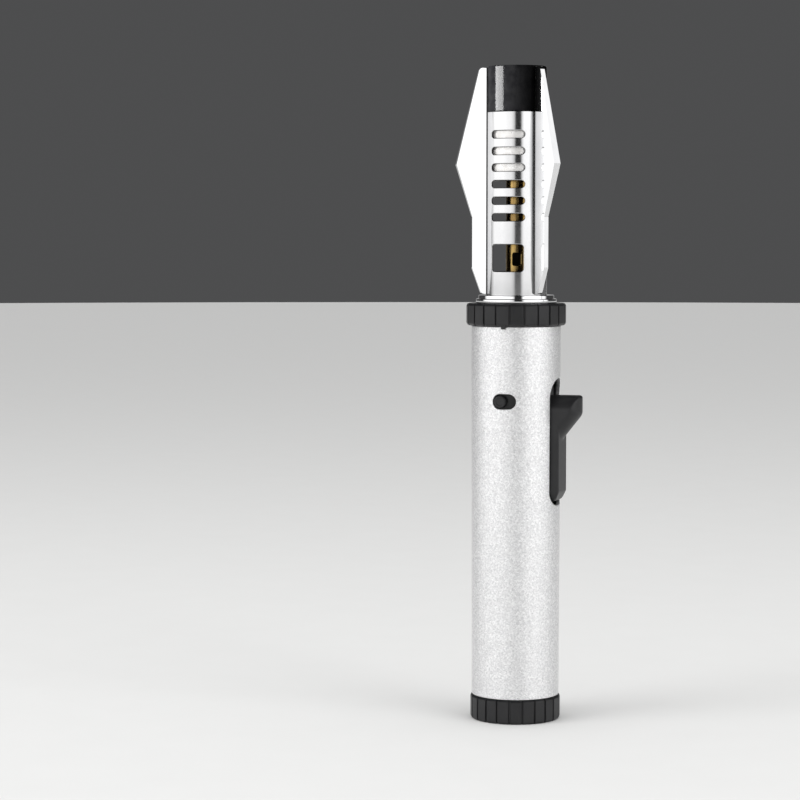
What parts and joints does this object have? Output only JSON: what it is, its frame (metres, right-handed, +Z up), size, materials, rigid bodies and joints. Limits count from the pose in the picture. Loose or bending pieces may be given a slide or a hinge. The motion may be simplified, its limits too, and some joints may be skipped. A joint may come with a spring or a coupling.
{
  "type": "butane torch",
  "caption": "Pen-shaped refillable butane torch with a painted barrel, side trigger, sliding lock, turning flame ring and a finned, slotted chrome burner head.",
  "frame": {"origin": "centre of the refill port in the underside of the base, in the plane that the torch stands on", "axes": "+Z up the barrel's axis to the mouth, -Y the front with the lock slot, +X the side with the trigger"},
  "size_m": [0.0308, 0.0273, 0.1606],
  "materials": {
    "barrel_paint": "pearl silver paint, satin, fine sparkle grain",
    "black_plastic": "satin black moulded plastic",
    "mirror_chrome": "mirror polished plating",
    "black_gloss": "glossy black plating",
    "brass": "turned, lightly tarnished",
    "steel": "plain steel",
    "burner_steel": "pressed stainless steel, heat tinted",
    "cast_alloy": "die cast, satin",
    "tank_nylon": "smoky translucent nylon",
    "chassis_plastic": "moulded, matt",
    "spark_plastic": "moulded, glossy",
    "plunger_plastic": "acetal, off-white",
    "seal_rubber": "matt",
    "filter_felt": "pressed felt",
    "wire_cover": "red insulation",
    "ceramic": "white glazed ceramic"
  },
  "bodies": {
    "casing": {"barrel": "barrel_paint", "base_cap": "black_plastic", "base_screws": "steel", "burner_tube": "brass", "chassis_front": "chassis_plastic", "chassis_rear": "chassis_plastic", "chassis_screws": "steel", "detent_ball": "steel", "detent_spring": "steel", "electrode_insulator": "ceramic", "electrode_tip": "steel", "electrode_wire": "wire_cover", "fill_valve_body": "brass", "fill_valve_seal": "seal_rubber", "fill_valve_spring": "steel", "flame_cup": "burner_steel", "flame_screen": "burner_steel", "fork_pin": "steel", "gas_jet": "brass", "gas_tank": "tank_nylon", "gas_tube": "seal_rubber", "gas_valve_body": "brass", "head_casting": "mirror_chrome", "head_flange": "mirror_chrome", "jet_holder": "cast_alloy", "lock_spring": "steel", "muzzle_ring": "black_gloss", "piezo_body": "spark_plastic", "piezo_terminal": "brass", "ring_carrier": "cast_alloy", "tank_lid": "tank_nylon", "tank_seal": "seal_rubber", "trigger_pin": "steel", "trigger_spring": "steel", "valve_filter": "filter_felt", "valve_stem_spring": "steel"},
    "trigger": {"trigger": "black_plastic"},
    "fork": {"valve_fork": "steel"},
    "valve_stem": {"gas_valve_stem": "brass", "valve_seal": "seal_rubber"},
    "plunger": {"piezo_plunger": "plunger_plastic"},
    "refill_stem": {"fill_valve_stem": "plunger_plastic"},
    "lock": {"lock_knob": "black_plastic", "lock_shutter": "black_plastic"},
    "flame_adjuster": {"flame_ring": "black_plastic"}
  },
  "joints": [
    {"name": "trigger_press", "type": "hinge", "parent": "casing", "child": "trigger", "pos_m": [0.0076, 0, 0.0565], "axis": [0, -1, 0], "range_deg": [0, 7], "stiffness_Nm_per_rad": 2},
    {"name": "fork_rock", "type": "hinge", "parent": "casing", "child": "fork", "pos_m": [0.0026, 0, 0.057], "axis": [0, 1, 0], "range_deg": [0, 13.1]},
    {"name": "valve_lift", "type": "slide", "parent": "casing", "child": "valve_stem", "axis": [0, 0, 1], "range_m": [0, 0.0006], "deforming": ["valve_stem_spring"]},
    {"name": "spark_strike", "type": "slide", "parent": "casing", "child": "plunger", "axis": [0, 0, -1], "range_m": [0, 0.00296], "stiffness_N_per_m": 0.3, "springref_m": -0.005},
    {"name": "refill_press", "type": "slide", "parent": "casing", "child": "refill_stem", "axis": [0, 0, 1], "range_m": [0, 0.0009], "stiffness_N_per_m": 600, "springref_m": -0.0008, "deforming": ["fill_valve_spring"]},
    {"name": "lock_turn", "type": "hinge", "parent": "casing", "child": "lock", "pos_m": [0, 0, 0.0791], "axis": [0, 0, 1], "range_deg": [0, 11.2]},
    {"name": "ring_turn", "type": "hinge", "parent": "casing", "child": "flame_adjuster", "pos_m": [0, 0, 0.1001], "axis": [0, 0, 1], "range_deg": [-60, 60]}
  ],
  "couplings": [
    {"joint": "fork_rock", "follows": "trigger_press", "ratio": 1.63},
    {"joint": "valve_lift", "follows": "trigger_press", "m_per_rad": 0.00426},
    {"joint": "spark_strike", "follows": "trigger_press", "m_per_rad": 0.0205}
  ]
}
